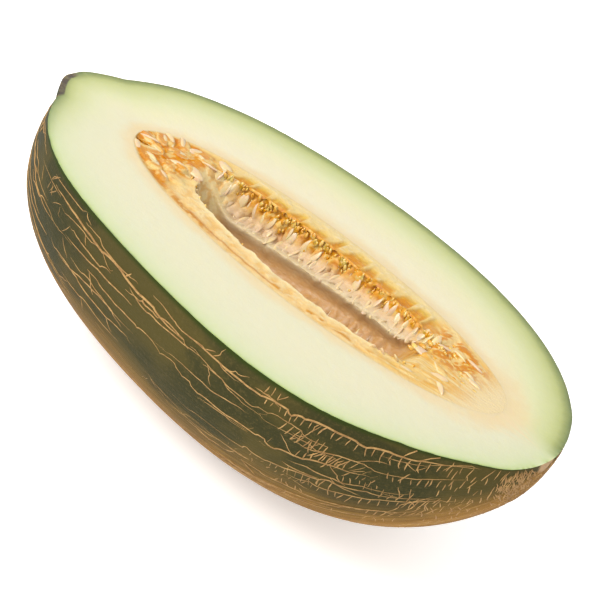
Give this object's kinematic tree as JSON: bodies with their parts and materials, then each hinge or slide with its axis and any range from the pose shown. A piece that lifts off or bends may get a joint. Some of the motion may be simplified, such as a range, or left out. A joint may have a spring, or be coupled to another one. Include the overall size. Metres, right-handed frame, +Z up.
{
  "type": "melon half",
  "caption": "Half of a long green netted melon cut lengthwise, cut face up, with pale flesh and an orange seed bed round an open hollow",
  "frame": {"origin": "centre of the bounding box in plan, on the surface the half rests on", "axes": "X along the fruit from the blossom-end nub (-X) to the stem end (+X), Y across the cut face, Z up, at right angles to the cut face"},
  "size_m": [0.2624, 0.1704, 0.0862],
  "materials": {
    "rind_and_flesh": "moist pale flesh, dark green netted rind",
    "seed_pulp": "wet orange pulp with cream seeds"
  },
  "bodies": {
    "root": {"melon_flesh": "rind_and_flesh", "seed_pulp": "seed_pulp"}
  },
  "joints": []
}
